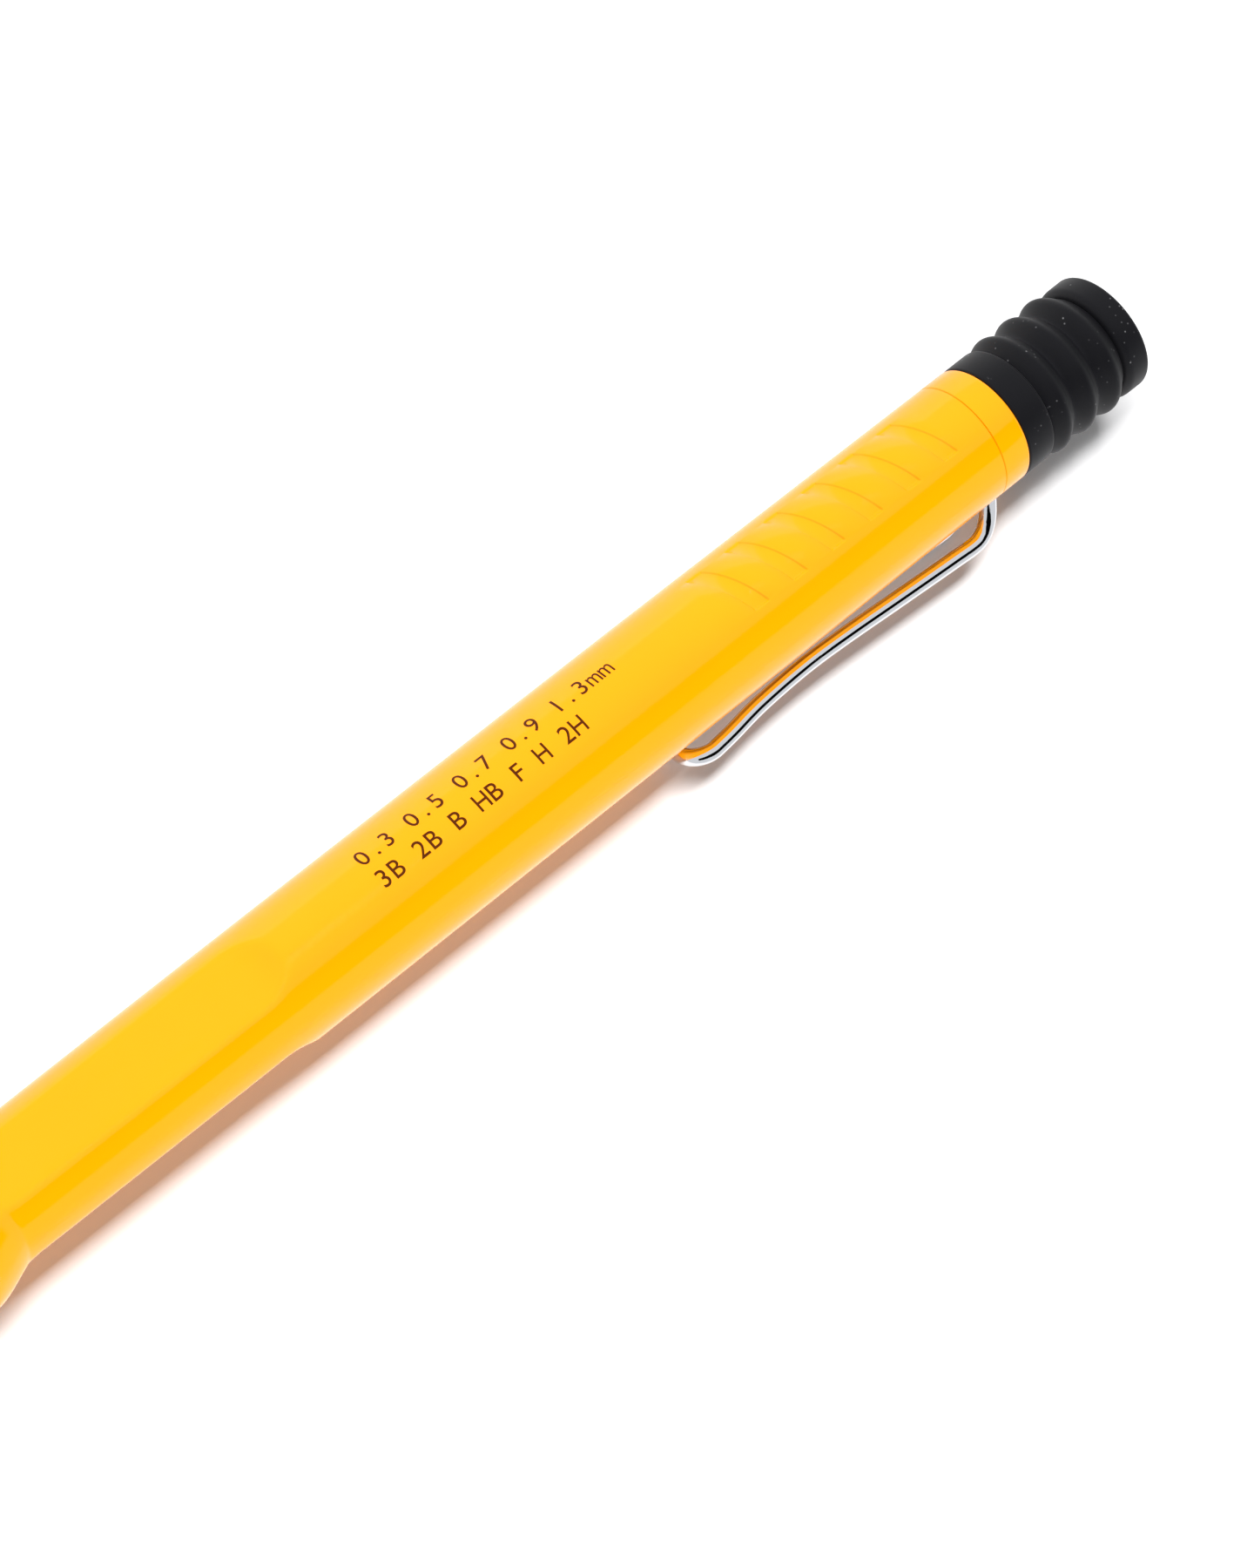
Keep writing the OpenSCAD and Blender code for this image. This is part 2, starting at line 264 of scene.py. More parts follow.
def barrel_rows():
    """Stations along the outside: close together at the flats' ends and across each bar's edges."""
    rows = spread(front + 0.12, 13, 6) + spread(13, 21, 40)[1:] + spread(21, 44, 10)[1:]
    rows += spread(44, 53, 27)[1:] + spread(53, bar_first - 6, 12)[1:]
    for k in range(bar_count):
        centre = bar_first + bar_pitch * k
        for side in (-1, 1):
            for step in (0, 0.25, 0.5, 0.75, 1):
                rows.append(centre + side * (bar_width / 2 + bar_edge * (step - 0.5)))
        rows.append(centre)
        rows.append(centre - bar_pitch / 2)
    rows += spread(bar_first + bar_pitch * (bar_count - 1) + 2.1, seam - 0.25, 4)
    rows += [seam - 0.16, seam - 0.08]
    return sorted(set(round(r, 4) for r in rows))


def barrel_turns():
    """Angles round the barrel: even, and close together across the ends of the bars."""
    turns = [i * 360 / 160 - 180 for i in range(160)]
    reach_angle = degrees(bar_reach / barrel_radius)
    edge_angle = degrees(bar_edge / barrel_radius)
    extra = [ornament_angle + side * (reach_angle + edge_angle * (step - 0.5))
             for side in (-1, 1) for step in (0, 0.25, 0.5, 0.75, 1)]
    extra = [(a + 180) % 360 - 180 for a in extra]
    turns = [a for a in turns if all(abs(a - e) > 0.6 for e in extra)] + extra
    return sorted(turns)


def pressed_at(row, around):
    """How far in the bars' tool reaches, 0 to 1. The rows lean with the bars, so a row runs along them."""
    k = min(max(round((row - bar_first) / bar_pitch), 0), bar_count - 1)
    beside = bar_width / 2 - abs(row - bar_first - bar_pitch * k)
    inside = bar_reach - abs(around)
    return blend_step(beside / bar_edge + 0.5) * blend_step(inside / bar_edge + 0.5)


def unrolled_barrel():
    """The barrel laid out flat: x along, y the angle in radians and z the distance from the axis."""
    outside = [(row, outer_radius(row), 1) for row in barrel_rows()]
    rear = [(seam, barrel_end_radius - 0.1, 0), (seam, spigot_bore, 0),
            (seam - spigot_length, spigot_bore, 0), (seam - spigot_length - 0.5, rear_bore, 0),
            (bore_step, rear_bore, 0), (bore_step, front_bore, 0), (front, front_bore, 0),
            (front, front_radius - 0.12, 0)]
    outline = outside + rear
    turns = barrel_turns()
    points, skin, pressed = [], [], []
    for along, radius, is_skin in outline:
        lean = is_skin * blend_step((along - bar_first + 6) / 4) * blend_step((seam - 1 - along) / 2.5)
        for turn in turns:
            around = radians((turn - ornament_angle + 180) % 360 - 180) * barrel_radius
            shift = lean * tan(bar_slant) * max(-1.0, min(1.0, around / bar_reach)) * bar_reach
            shift *= 1 - blend_step((abs(around) - bar_reach) / 3)
            reach = max(radius, rim_reach(along, turn)) if is_skin else radius
            points.append((along + shift, radians(turn), reach))
            skin.append(float(is_skin))
            pressed.append(pressed_at(along, around) if is_skin and along > bar_first - 3 else 0.0)
    count = len(turns)
    faces = [(i * count + j, i * count + (j + 1) % count, (i + 1) % len(outline) * count + (j + 1) % count,
              (i + 1) % len(outline) * count + j) for i in range(len(outline)) for j in range(count)]
    mesh = bpy.data.meshes.new("barrel_form")
    mesh.from_pydata(points, [], faces)
    for name, values in (("skin", skin), ("pressed", pressed)):
        mesh.attributes.new(name, "FLOAT", "POINT").data.foreach_set("value", values)
    return mesh


class Tree:
    """A Geometry Nodes tree under construction: named inputs, and one line per node."""

    def __init__(self, name, numbers):
        self.tree = bpy.data.node_groups.new(name, "GeometryNodeTree")
        self.tree.interface.new_socket("Geometry", in_out="INPUT", socket_type="NodeSocketGeometry")
        self.ids = {}
        for key, value in numbers.items():
            kind = "NodeSocketInt" if isinstance(value, int) else "NodeSocketFloat"
            socket = self.tree.interface.new_socket(key, in_out="INPUT", socket_type=kind)
            socket.default_value = value
            self.ids[key] = socket.identifier
        self.tree.interface.new_socket("Geometry", in_out="OUTPUT", socket_type="NodeSocketGeometry")
        self.input = self.tree.nodes.new("NodeGroupInput")
        self.output = self.tree.nodes.new("NodeGroupOutput")
        self.numbers = numbers

    def get(self, key):
        return self.input.outputs[key]

    def node(self, kind, settings=None, **sockets):
        made = self.tree.nodes.new(kind)
        for key, value in (settings or {}).items():
            setattr(made, key, value)
        for key, value in sockets.items():
            self.plug(made.inputs[key.replace("_", " ")], value)
        return made

    def plug(self, socket, value):
        if isinstance(value, bpy.types.NodeSocket):
            self.tree.links.new(value, socket)
        else:
            socket.default_value = value

    def math(self, operation, *values):
        made = self.tree.nodes.new("ShaderNodeMath")
        made.operation = operation
        for socket, value in zip(made.inputs, values):
            self.plug(socket, value)
        return made.outputs[0]

    def vector(self, x, y, z):
        return self.node("ShaderNodeCombineXYZ", X=x, Y=y, Z=z).outputs[0]

    def attribute(self, name):
        made = self.node("GeometryNodeInputNamedAttribute", {"data_type": "FLOAT"}, Name=name)
        return made.outputs["Attribute"]

    def finish(self, geometry, material):
        """Makes the result real, gives it its material and puts it out."""
        real = self.node("GeometryNodeRealizeInstances", Geometry=geometry).outputs[0]
        painted = self.node("GeometryNodeSetMaterial", Geometry=real, Material=material).outputs[0]
        self.tree.links.new(painted, self.output.inputs[0])


def wrapped(tree, along, angle, radius):
    """Nodes that roll a flat layout up round the pencil's axis, from millimetres to the frame's metres."""
    turn = tree.math("ADD", angle, tree.get("Clip turn"))
    metres = tree.math("MULTIPLY", radius, MM)
    x = tree.math("MULTIPLY_ADD", along, MM, tree.get("Tip X"))
    y = tree.math("MULTIPLY_ADD", metres, tree.math("COSINE", turn), tree.get("Axis Y"))
    z = tree.math("MULTIPLY_ADD", metres, tree.math("SINE", turn), tree.get("Axis Z"))
    return tree.vector(x, y, z)


AXIS_NUMBERS = {"Tip X": tip_x, "Axis Y": axis_y, "Axis Z": axis_z, "Clip turn": clip_turn}


def grown(name, base_mesh, tree, sharp=35):
    """Runs a tree on a mesh or curve and returns the plain mesh object that it makes."""
    base = bpy.data.objects.new(name + "_base", base_mesh)
    bpy.context.scene.collection.objects.link(base)
    modifier = base.modifiers.new("form", "NODES")
    modifier.node_group = tree.tree
    for key, value in tree.numbers.items():
        modifier[tree.ids[key]] = value
    evaluated = base.evaluated_get(bpy.context.evaluated_depsgraph_get())
    mesh = bpy.data.meshes.new_from_object(evaluated)
    mesh.name = name
    base.modifiers.remove(modifier)
    bpy.data.objects.remove(base)
    return finished(name, mesh, sharp)


def finished(name, mesh, sharp=35):
    """Links a mesh as a piece, its faces outwards, smooth except at edges sharper than so many degrees."""
    work = bmesh.new()
    work.from_mesh(mesh)
    bmesh.ops.remove_doubles(work, verts=work.verts, dist=1e-7)
    bmesh.ops.recalc_face_normals(work, faces=work.faces)
    work.to_mesh(mesh)
    work.free()
    mesh.shade_smooth()
    mesh.set_sharp_from_angle(angle=radians(sharp))
    made = bpy.data.objects.new(name, mesh)
    bpy.context.scene.collection.objects.link(made)
    return made


class Group:
    """A shader node group under construction, with named inputs and outputs."""

    def __init__(self, name, inputs, outputs):
        self.tree = bpy.data.node_groups.new(name, "ShaderNodeTree")
        for key, value in inputs.items():
            kind = "NodeSocketColor" if isinstance(value, tuple) else "NodeSocketFloat"
            self.tree.interface.new_socket(key, in_out="INPUT", socket_type=kind).default_value = value
        for key, kind in outputs.items():
            self.tree.interface.new_socket(key, in_out="OUTPUT", socket_type=kind)
        self.input = self.tree.nodes.new("NodeGroupInput")
        self.output = self.tree.nodes.new("NodeGroupOutput")

    def get(self, key):
        return self.input.outputs[key]

    def put(self, key, value):
        self.tree.links.new(value, self.output.inputs[key])

    def node(self, kind, settings=None, **sockets):
        return add_node(self.tree, kind, settings, **sockets)


def add_node(tree, kind, settings=None, **sockets):
    """Adds a node, sets its properties, and fills each named socket with a value or a link."""
    made = tree.nodes.new(kind)
    for key, value in (settings or {}).items():
        setattr(made, key, value)
    for key, value in sockets.items():
        socket = made.inputs[int(key[1:]) if key[0] == "_" else key.replace("_", " ")]
        if isinstance(value, bpy.types.NodeSocket):
            tree.links.new(value, socket)
        else:
            socket.default_value = value
    return made


def hairlines_group():
    """Fine handling marks: long hairlines along the pencil and a soft unevenness of the polish."""
    group = Group("hairlines", {"Roughness": 0.2, "Uneven": 0.05, "Marks": 0.1, "Bump": 0.02, "Size": 900.0},
                  {"Roughness": "NodeSocketFloat", "Normal": "NodeSocketVector"})
    place = group.node("ShaderNodeTexCoord").outputs["Object"]
    drawn = group.node("ShaderNodeMapping", Vector=place, Scale=(0.06, 1, 1), Rotation=(0, 0.02, 0.03))
    lines = group.node("ShaderNodeTexNoise", Vector=drawn.outputs[0], Scale=group.get("Size"), Detail=3.0)
    thin = group.node("ShaderNodeMapRange", Value=lines.outputs["Fac"], From_Min=0.6, From_Max=0.72)
    cloud = group.node("ShaderNodeTexNoise", Vector=place, Scale=120.0, Detail=2.0)
    soft = group.node("ShaderNodeMath", {"operation": "SUBTRACT"}, _0=cloud.outputs["Fac"], _1=0.5)
    uneven = group.node("ShaderNodeMath", {"operation": "MULTIPLY_ADD"}, _0=soft.outputs[0],
                        _1=group.get("Uneven"), _2=group.get("Roughness"))
    marked = group.node("ShaderNodeMath", {"operation": "MULTIPLY_ADD"}, _0=thin.outputs[0],
                        _1=group.get("Marks"), _2=uneven.outputs[0])
    bump = group.node("ShaderNodeBump", Height=thin.outputs[0], Strength=group.get("Bump"), Distance=0.00002)
    group.put("Roughness", marked.outputs[0])
    group.put("Normal", bump.outputs[0])
    return group.tree


hairlines = hairlines_group()


def worn(material, shader, group_tree=hairlines, **values):
    """Puts a wear group in a material and links its roughness and normal to the shader."""
    tree = material.node_tree
    made = tree.nodes.new("ShaderNodeGroup")
    made.node_tree = group_tree
    for key, value in values.items():
        made.inputs[key].default_value = value
    tree.links.new(made.outputs["Roughness"], shader.inputs["Roughness"])
    tree.links.new(made.outputs["Normal"], shader.inputs["Normal"])
    return made


yellow_abs, nodes, links, shader = new_material("yellow_abs")
pigment = add_node(yellow_abs.node_tree, "ShaderNodeTexNoise", Scale=70.0, Detail=2.0,
                   Vector=add_node(yellow_abs.node_tree, "ShaderNodeTexCoord").outputs["Object"])
blend = add_node(yellow_abs.node_tree, "ShaderNodeMix", {"data_type": "RGBA"}, Factor=pigment.outputs["Fac"],
                 _6=srgb(253, 158, 0), _7=srgb(255, 162, 1))
links.new(blend.outputs[2], shader.inputs["Base Color"])
shader.inputs["IOR"].default_value = 1.5
shader.inputs["Specular IOR Level"].default_value = 0.3
worn(yellow_abs, shader, Roughness=0.13, Uneven=0.04, Marks=0.05, Bump=0.03, Size=1100.0)

form = Tree("barrel_form", {**AXIS_NUMBERS, "Flat distance": flat_distance, "Flat front": flat_front,
                            "Flat rear": flat_rear, "Run-out radius": flat_runout, "Edge softness": 0.35,
                            "Bar depth": bar_depth, "Thumb angle": radians(flat_angles[0]),
                            "Finger angle": radians(flat_angles[1])})
laid = form.node("ShaderNodeSeparateXYZ", Vector=form.node("GeometryNodeInputPosition").outputs[0]).outputs
cut = form.math("SUBTRACT", flat_cut_radius, form.get("Flat distance"))
rest = form.math("SUBTRACT", form.get("Run-out radius"), cut)
run = form.math("SQRT", form.math("SUBTRACT", form.math("POWER", form.get("Run-out radius"), 2.0),
                                  form.math("POWER", rest, 2.0)))
beyond_front = form.math("SUBTRACT", form.math("ADD", form.get("Flat front"), run), laid[0])
beyond_rear = form.math("SUBTRACT", laid[0], form.math("SUBTRACT", form.get("Flat rear"), run))
beyond = form.math("MAXIMUM", form.math("MAXIMUM", beyond_front, beyond_rear), 0.0)
beyond = form.math("MINIMUM", beyond, form.get("Run-out radius"))
arc = form.math("SQRT", form.math("SUBTRACT", form.math("POWER", form.get("Run-out radius"), 2.0),
                                  form.math("POWER", beyond, 2.0)))
floor_of_flat = form.math("ADD", form.get("Flat distance"),
                          form.math("SUBTRACT", form.get("Run-out radius"), arc))
radius = laid[2]
for key in ("Thumb angle", "Finger angle"):
    facing = form.math("MAXIMUM", form.math("COSINE", form.math("SUBTRACT", laid[1], form.get(key))), 0.3)
    flat = form.math("DIVIDE", floor_of_flat, facing)
    radius = form.math("SMOOTH_MIN", radius, flat, form.get("Edge softness"))
radius = form.math("SUBTRACT", radius,
                   form.math("MULTIPLY", form.attribute("pressed"), form.get("Bar depth")))
skin = form.attribute("skin")
radius = form.math("ADD", form.math("MULTIPLY", radius, skin),
                   form.math("MULTIPLY", laid[2], form.math("SUBTRACT", 1.0, skin)))
rolled = form.node("GeometryNodeSetPosition", Geometry=form.get("Geometry"),
                   Position=wrapped(form, laid[0], laid[1], radius)).outputs[0]
form.finish(rolled, yellow_abs)
barrel = grown("barrel_shell", unrolled_barrel(), form, sharp=40)
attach(barrel, "casing")
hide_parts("barrel")


# ---------------------------------------------------------------- print on the barrel
# Two rows of small typewriter-spaced figures, pad printed in brown: line widths, and grades of lead.
# Each figure is a skin of ink that follows the barrel's curve.
print_rows = (("0.3 0.5 0.7 0.9 1.3mm", -168.3), ("3B 2B B HB F H 2H", -142.5))
print_start, print_pitch, figure_size, ink_height = 62.0, 1.394, 2.35, 0.012

brown_ink, nodes, links, shader = new_material("brown_ink")
speckle = add_node(brown_ink.node_tree, "ShaderNodeTexNoise", Scale=5000.0, Detail=3.0,
                   Vector=add_node(brown_ink.node_tree, "ShaderNodeTexCoord").outputs["Object"])
blend = add_node(brown_ink.node_tree, "ShaderNodeMix", {"data_type": "RGBA"}, Factor=speckle.outputs["Fac"],
                 _6=srgb(62, 24, 0), _7=srgb(92, 42, 4))
links.new(blend.outputs[2], shader.inputs["Base Color"])
shader.inputs["Roughness"].default_value = 0.4
shader.inputs["Specular IOR Level"].default_value = 0.15


def figure_mesh(character):
    """One figure as a flat mesh, cut in strips so that it can bend round the barrel."""
    text = bpy.data.curves.new("figure", "FONT")
    text.body = character
    text.size = figure_size
    text.align_x = "CENTER"
    text.offset = 0.01
    text.resolution_u = 4
    holder = bpy.data.objects.new("figure", text)
    bpy.context.scene.collection.objects.link(holder)
    mesh = bpy.data.meshes.new_from_object(holder.evaluated_get(bpy.context.evaluated_depsgraph_get()))
    bpy.data.objects.remove(holder)
    work = bmesh.new()
    work.from_mesh(mesh)
    bpy.data.meshes.remove(mesh)
    for k in range(-1, 6):
        geometry = list(work.verts) + list(work.edges) + list(work.faces)
        bmesh.ops.bisect_plane(work, geom=geometry, plane_co=(0, 0.3 * k, 0), plane_no=(0, 1, 0))
    bmesh.ops.triangulate(work, faces=work.faces)
    return work


def printed_rows():
    """Every figure on its row; one too wide for its place is drawn narrower."""
    points, faces = [], []
    for text, angle in print_rows:
        for column, character in enumerate(text):
            if character == " ":
                continue
            work = figure_mesh(character)
            work.verts.ensure_lookup_table()
            first = len(points)
            narrow = min(1.0, print_pitch * 0.45 / max(abs(v.co.x) for v in work.verts))
            for v in work.verts:
                along = print_start + print_pitch * column + v.co.x * narrow
                radius = outer_radius(along) + ink_height
                turn = angle - degrees((v.co.y - figure_size * 0.35) / radius)
                points.append(spot(along, radius, turn))
            faces += [tuple(first + v.index for v in f.verts) for f in work.faces]
            work.free()
    mesh = bpy.data.meshes.new("print")
    mesh.from_pydata(points, [], faces)
    mesh.materials.append(brown_ink)
    mesh.shade_smooth()
    return mesh


print_skin = bpy.data.objects.new("barrel_print", printed_rows())
bpy.context.scene.collection.objects.link(print_skin)
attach(print_skin, "casing")


# ---------------------------------------------------------------- end collar
# A short yellow ring plugged into the barrel's rear end. A fine open seam shows between the two, and
# its rear edge is rounded over against the rubber.
def eased(corners, steps=6):
    """An outline from corners (along, radius, rounding): each rounded corner becomes an arc."""
    points = []
    count = len(corners)
    for i, (along, radius, rounding) in enumerate(corners):
        here = Vector((along, radius))
        if not rounding:
            points.append(tuple(here))
            continue
        to_last = (Vector(corners[i - 1][:2]) - here).normalized()
        to_next = (Vector(corners[(i + 1) % count][:2]) - here).normalized()
        half = to_last.angle(to_next) / 2
        middle = (to_last + to_next).normalized() * (rounding / sin(half)) + here
        start = here + to_last * (rounding / tan(half)) - middle
        end = here + to_next * (rounding / tan(half)) - middle
        for k in range(steps + 1):
            t = k / steps
            arm = start.slerp(end, t) if start.angle(end) < pi - 0.01 else start.lerp(end, t)
            points.append(tuple(middle + arm.normalized() * rounding))
    return points


def turned(name, outline, material, segments=128, sharp=35):
    """A piece turned from its closed half outline of (along, radius); points on the axis become poles."""
    count = len(outline)
    points, rings = [], []
    for along, radius in outline:
        if radius < 1e-6:
            rings.append([len(points)] * segments)
            points.append(spot(along, 0, 0))
        else:
            rings.append([len(points) + j for j in range(segments)])
            points += [spot(along, radius, 360 * j / segments) for j in range(segments)]
    faces = []
    for i in range(count):
        a, b = rings[i], rings[(i + 1) % count]
        for j in range(segments):
            k = (j + 1) % segments
            corners = []
            for v in (a[j], a[k], b[k], b[j]):
                if v not in corners:
                    corners.append(v)
            if len(corners) > 2:
                faces.append(corners)
    mesh = bpy.data.meshes.new(name)
    mesh.from_pydata(points, [], faces)
    mesh.materials.append(material)
    return finished(name, mesh, sharp)


core_seat, button_inside = 3.8, 4.5
collar = turned("collar_ring", eased([
    (seam - spigot_length, core_seat, 0), (seam - spigot_length, spigot_bore - 0.02, 0),
    (seam + 0.02, spigot_bore - 0.02, 0), (seam + 0.02, barrel_end_radius, 0.12),
    (collar_end, barrel_end_radius, 0.32), (collar_end, button_inside, 0),
    (band_end - 0.2, button_inside, 0), (band_end - 0.2, core_seat, 0)]), yellow_abs)
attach(collar, "casing")
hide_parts("end_collar")


# ---------------------------------------------------------------- wire clip
# One length of spring wire, chromed and polished, bent to a U. Both feet go into holes at the seam,
# and the free end dips to the barrel and lifts again, to slide over a pocket's edge.
wire_radius = 0.8
leg_side = 2.0
turn_steps = 28
clip_side_view = ((0.16, 4.3), (-0.1, 5.2), (-0.5, 6.5), (-0.95, 7.4), (-1.7, 8.2), (-2.9, 8.6), (-5.6, 8.45),
                  (-12.2, 7.95), (-18.9, 7.42), (-23.8, 7.22), (-29.2, 7.5), (-32.9, 8.1), (-35, 8.35))

chrome, nodes, links, shader = new_material("chromed_wire")
shader.inputs["Base Color"].default_value = (0.74, 0.75, 0.77, 1)
shader.inputs["Metallic"].default_value = 1.0
worn(chrome, shader, Roughness=0.045, Uneven=0.03, Marks=0.08, Bump=0.05, Size=2200.0)


def curve_through(stops, steps):
    """A smooth curve through the stops, with so many points from each to the next."""
    last = len(stops) - 1
    points = []
    for i in range(last):
        a, b, c, d = (Vector(stops[max(0, min(last, i + k))]) for k in (-1, 0, 1, 2))
        for k in range(steps):
            t = k / steps
            points.append(0.5 * ((2 * b) + (c - a) * t + (2 * a - 5 * b + 4 * c - d) * t * t
                                 + (3 * b - a - 3 * c + d) * t ** 3))
    return points + [Vector(stops[last])]


def clip_route():
    """The wire's middle line in the frame, foot to foot."""
    leg = [(seam + p[0], p[1]) for p in curve_through(clip_side_view, 10)]
    end_along, end_out = leg[-1]
    flat = [(along, out, -leg_side) for along, out in leg]
    for k in range(1, turn_steps):
        swing = pi * k / turn_steps
        flat.append((end_along - leg_side * sin(swing), end_out, -leg_side * cos(swing)))
    flat += [(along, out, leg_side) for along, out in reversed(leg)]
    return [spot(along, sqrt(out * out + side * side), degrees(atan2(side, out)))
            for along, out, side in flat]


def curve_of(name, points):
    data = bpy.data.curves.new(name, "CURVE")
    data.dimensions = "3D"
    line = data.splines.new("POLY")
    line.points.add(len(points) - 1)
    for target, point in zip(line.points, points):
        target.co = (*point, 1)
    return data


def wire_tree(name, radius, sides, material):
    """A tree that draws round wire along a curve, with closed ends."""
    tree = Tree(name, {"Wire radius": radius * MM, "Sides": sides})
    section = tree.node("GeometryNodeCurvePrimitiveCircle", Resolution=tree.get("Sides"),
                        Radius=tree.get("Wire radius")).outputs[0]
    drawn = tree.node("GeometryNodeCurveToMesh", Curve=tree.get("Geometry"), Profile_Curve=section,
                      Fill_Caps=True).outputs[0]
    tree.finish(drawn, material)
    return tree


clip = grown("clip_wire", curve_of("clip_route", clip_route()),
             wire_tree("clip_wire", wire_radius, 32, chrome))
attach(clip, "clip")
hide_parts("clip")


# ---------------------------------------------------------------- rubber button
# Moulded in one piece in soft black rubber: a plain band against the collar, a bellows of three folds
# and a flat-ended cap. Dust clings to it.
band_radius, cap_radius, fold_radius, groove_radius = 5.75, 5.75, 6.0, 5.05
fold_count, rubber_wall = 3, 0.8


def dusty_group():
    """Rubber's skin: a fine matt grain, with specks of lint and dust caught on it."""
    group = Group("dusty_skin", {"Colour": (0.0052, 0.0052, 0.0064, 1), "Dust colour": (0.3, 0.3, 0.31, 1),
                                 "Dust": 0.6, "Roughness": 0.5, "Grain": 0.1},
                  {"Colour": "NodeSocketColor", "Roughness": "NodeSocketFloat", "Normal": "NodeSocketVector"})
    place = group.node("ShaderNodeTexCoord").outputs["Object"]
    cells = group.node("ShaderNodeTexVoronoi", Vector=place, Scale=1500.0)
    near = group.node("ShaderNodeMapRange", Value=cells.outputs["Distance"], From_Min=0.16,
                      From_Max=0.05)
    patches = group.node("ShaderNodeTexNoise", Vector=place, Scale=380.0, Detail=2.0)
    where = group.node("ShaderNodeMapRange", Value=patches.outputs["Fac"], From_Min=0.52, From_Max=0.68)
    speck = group.node("ShaderNodeMath", {"operation": "MULTIPLY"}, _0=near.outputs[0], _1=where.outputs[0])
    mask = group.node("ShaderNodeMath", {"operation": "MULTIPLY"}, _0=speck.outputs[0], _1=group.get("Dust"))
    colour = group.node("ShaderNodeMix", {"data_type": "RGBA"}, Factor=mask.outputs[0],
                        _6=group.get("Colour"), _7=group.get("Dust colour"))
    grain = group.node("ShaderNodeTexNoise", Vector=place, Scale=9000.0, Detail=2.0)
    broad = group.node("ShaderNodeTexNoise", Vector=place, Scale=260.0, Detail=1.0)
    rough = group.node("ShaderNodeMath", {"operation": "MULTIPLY_ADD"}, _0=broad.outputs["Fac"], _1=0.16,
                       _2=group.get("Roughness"))
    bump = group.node("ShaderNodeBump", Height=grain.outputs["Fac"], Strength=group.get("Grain"),
                      Distance=0.00003)
    group.put("Colour", colour.outputs[2])
    group.put("Roughness", rough.outputs[0])
    group.put("Normal", bump.outputs[0])
    return group.tree


black_rubber, nodes, links, shader = new_material("black_rubber")
skin_node = worn(black_rubber, shader, dusty_group(), Roughness=0.42)
links.new(skin_node.outputs["Colour"], shader.inputs["Base Color"])
shader.inputs["Specular IOR Level"].default_value = 0.16
shader.inputs["Sheen Weight"].default_value = 0.03
shader.inputs["Sheen Roughness"].default_value = 0.4

button_band = turned("button_band_rubber", eased([
    (collar_end + 0.01, button_inside, 0), (collar_end + 0.01, band_radius, 0.2),
    (band_end, band_radius, 0.42), (band_end, button_inside, 0)]), black_rubber)
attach(button_band, "casing")
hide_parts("button_band")


def fold_outline():
    """The bellows in section: full round folds with narrow grooves, and a wall of even thickness."""
    pitch = (cap_start - band_end) / fold_count
    steps = 20
    crest = [(band_end + pitch * k / steps,
              groove_radius + (fold_radius - groove_radius) * ((1 - cos(2 * pi * k / steps)) / 2) ** 0.7)
             for k in range(fold_count * steps + 1)]
    return crest + [(along, radius - rubber_wall) for along, radius in reversed(crest)]


bellows = turned("button_bellows_rubber", fold_outline(), black_rubber, sharp=60)
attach(bellows, "casing")
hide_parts("button_bellows")
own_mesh(bellows)

cap_face = button_end - 1.4
cap = turned("button_cap_rubber", eased([
    (cap_start, 4.7, 0), (cap_start, cap_radius - 0.02, 0.8), (button_end, cap_radius, 0.4),
    (button_end, 0, 0), (cap_face, 0, 0), (cap_face, 4.7, 0)]), black_rubber)
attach(cap, "plunger")
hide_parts("button_cap")


# ---------------------------------------------------------------- metal tip
# The nose cone is turned from brass and satin nickelled; it screws into the mechanism and holds the
# barrel. A thin steel sleeve guides the lead.
satin_nickel, nodes, links, shader = new_material("satin_nickel")
shader.inputs["Base Color"].default_value = (0.62, 0.6, 0.56, 1)
shader.inputs["Metallic"].default_value = 1.0
tree = satin_nickel.node_tree
place = add_node(tree, "ShaderNodeTexCoord").outputs["Object"]
lathe_marks = add_node(tree, "ShaderNodeTexNoise", Scale=9000.0, Detail=2.0, Vector=add_node(
    tree, "ShaderNodeMapping", Vector=place, Scale=(1, 0.02, 0.02)).outputs[0])
uneven = add_node(tree, "ShaderNodeMapRange", Value=lathe_marks.outputs["Fac"], To_Min=0.22, To_Max=0.36)
turned_bump = add_node(tree, "ShaderNodeBump", Height=lathe_marks.outputs["Fac"], Strength=0.12,
                       Distance=0.00002)
links.new(uneven.outputs[0], shader.inputs["Roughness"])
links.new(turned_bump.outputs[0], shader.inputs["Normal"])

nose = turned("nose_cone_turned", eased([
    (4.4, 0.66, 0), (4.4, 0.95, 0.12), (5.2, 1.2, 0.6), (11.4, 3.55, 0.4), (front, 3.75, 0.15),
    (front, 2.8, 0), (16.6, 2.8, 0), (16.6, 2.05, 0), (10.8, 2.05, 0), (10.6, 1.3, 0), (8.6, 1.3, 0),
    (8.6, 0.66, 0)]),
    satin_nickel, segments=96)
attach(nose, "casing")
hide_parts("nose_cone")

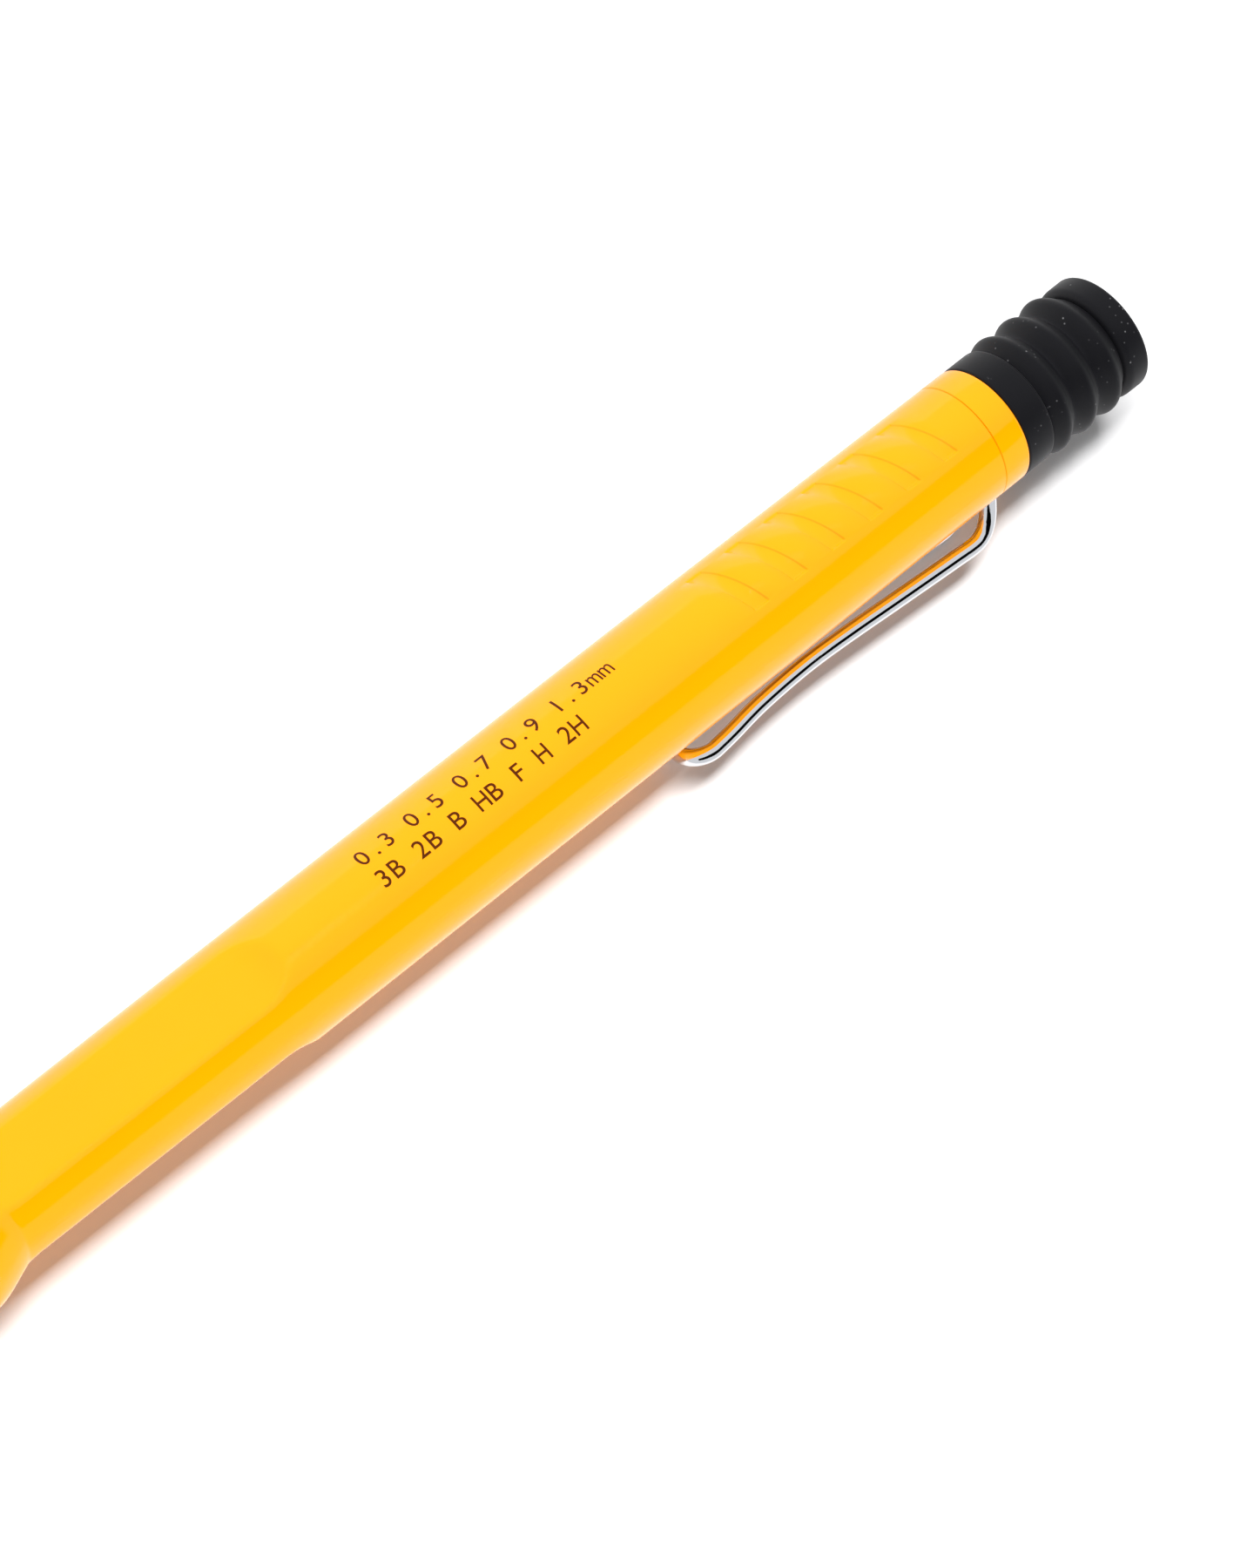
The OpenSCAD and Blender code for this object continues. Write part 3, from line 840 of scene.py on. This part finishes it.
steel, nodes, links, shader = new_material("drawn_steel")
shader.inputs["Base Color"].default_value = (0.58, 0.59, 0.6, 1)
shader.inputs["Metallic"].default_value = 1.0
worn(steel, shader, Roughness=0.2, Uneven=0.1, Marks=0.15, Bump=0.1, Size=3000.0)
sleeve = turned("lead_sleeve_tube", eased([
    (0.7, 0.3, 0), (0.7, 0.45, 0.06), (4.4, 0.45, 0), (4.4, 0.65, 0), (8.6, 0.65, 0), (8.6, 0.3, 0)]),
    steel, segments=48)
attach(sleeve, "casing")
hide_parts("lead_sleeve")


# ---------------------------------------------------------------- the works inside
# The clutch and the lead's tube keep the shapes of their drawings. Brass parts are turned,
# the tube is clear plastic, and the leads are polished graphite.
def plain_finish(name, colour, roughness, metal=0.0, alpha=1.0):
    """A finish for a hidden piece, with fine hairlines."""
    made, _, _, principled = new_material(name)
    principled.inputs["Base Color"].default_value = colour
    principled.inputs["Metallic"].default_value = metal
    principled.inputs["Alpha"].default_value = alpha
    worn(made, principled, Roughness=roughness, Uneven=0.12, Marks=0.1, Bump=0.08, Size=2400.0)
    return made


inside_finishes = {
    "drawn_steel": ("cleaning_needle",),
    "turned_brass": ("chuck_jaw_1", "chuck_jaw_2", "chuck_jaw_3", "chuck_ring", "chuck_body"),
    "grey_acetal": ("mechanism_housing",),
    "clear_styrene": ("lead_tube",),
    "graphite": ("writing_lead", "spare_leads"),
    "white_eraser": ("eraser",),
    "black_nylon": ("button_core",),
    "satin_nickel": ("eraser_holder",),
    "black_rubber": ("lead_retainer",),
}
plain_finish("turned_brass", srgb(214, 170, 92), 0.28, metal=1.0)
plain_finish("grey_acetal", srgb(86, 88, 92), 0.45)
plain_finish("clear_styrene", srgb(214, 222, 226), 0.15)
plain_finish("graphite", srgb(52, 52, 56), 0.38)
plain_finish("white_eraser", srgb(240, 240, 236), 0.7)
plain_finish("black_nylon", srgb(30, 30, 32), 0.45)
for finish, names in inside_finishes.items():
    for name in names:
        mesh = frame["nodes"][name].data
        mesh.materials.clear()
        mesh.materials.append(bpy.data.materials[finish])


# ---------------------------------------------------------------- return spring
# Wound from hard drawn steel wire; it pushes the clutch back when the button is let go.
coil_turns, coil_radius, coil_wire = 8, 1.95, 0.17
spring_low, spring_high = (along_of(corner.x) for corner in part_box("return_spring"))


def coil_route():
    points = []
    for k in range(coil_turns * 40 + 1):
        t = k / (coil_turns * 40)
        along = spring_low + coil_wire + (spring_high - spring_low - 2 * coil_wire) * t
        points.append(spot(along, coil_radius, 360 * coil_turns * t))
    return points


spring = grown("return_spring_coil", curve_of("coil_route", coil_route()),
               wire_tree("spring_wire", coil_wire, 12, steel))
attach(spring, "casing")
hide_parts("return_spring")
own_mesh(spring)
